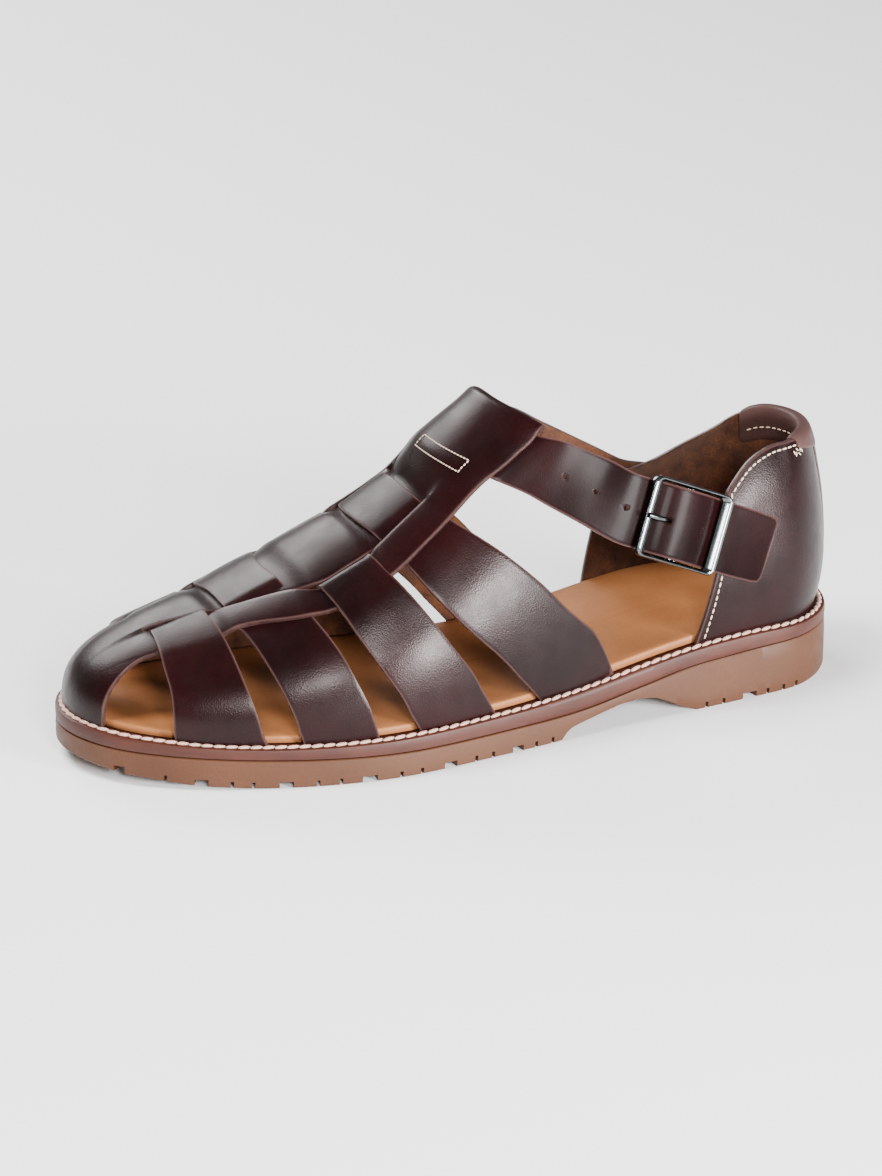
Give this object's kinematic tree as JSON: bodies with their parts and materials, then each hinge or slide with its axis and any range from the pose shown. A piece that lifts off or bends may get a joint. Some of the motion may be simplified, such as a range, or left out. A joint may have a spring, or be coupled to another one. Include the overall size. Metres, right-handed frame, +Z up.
{
  "type": "fisherman sandal",
  "caption": "Left shoe with a woven leather upper, closed toe and heel, an ankle strap with a buckle, and a lugged rubber sole with a low heel.",
  "frame": {"origin": "on the floor, on the forefoot's flat tread, halfway along the sole's length", "axes": "+X to the outer (lateral) side, +Y to the heel, +Z up"},
  "size_m": [0.1024, 0.2985, 0.1197],
  "materials": {
    "sole_rubber": "matt moulded rubber, tan brown",
    "midsole_leather": "stained leather edge, reddish brown",
    "insole_leather": "smooth natural tan leather",
    "upper_leather": "smooth glossy leather, dark burgundy brown",
    "collar_leather": "soft padded leather, dark brown",
    "buckle_metal": "dark nickel-plated metal"
  },
  "bodies": {
    "root": {"outsole": "sole_rubber", "midsole": "midsole_leather", "insole": "insole_leather", "upper": "upper_leather", "quarter_lateral": "upper_leather", "quarter_medial": "upper_leather", "backstay": "upper_leather", "collar": "collar_leather", "ankle_strap": "upper_leather", "buckle_chape": "upper_leather", "buckle_frame": "buckle_metal", "buckle_prong": "buckle_metal"}
  },
  "joints": []
}
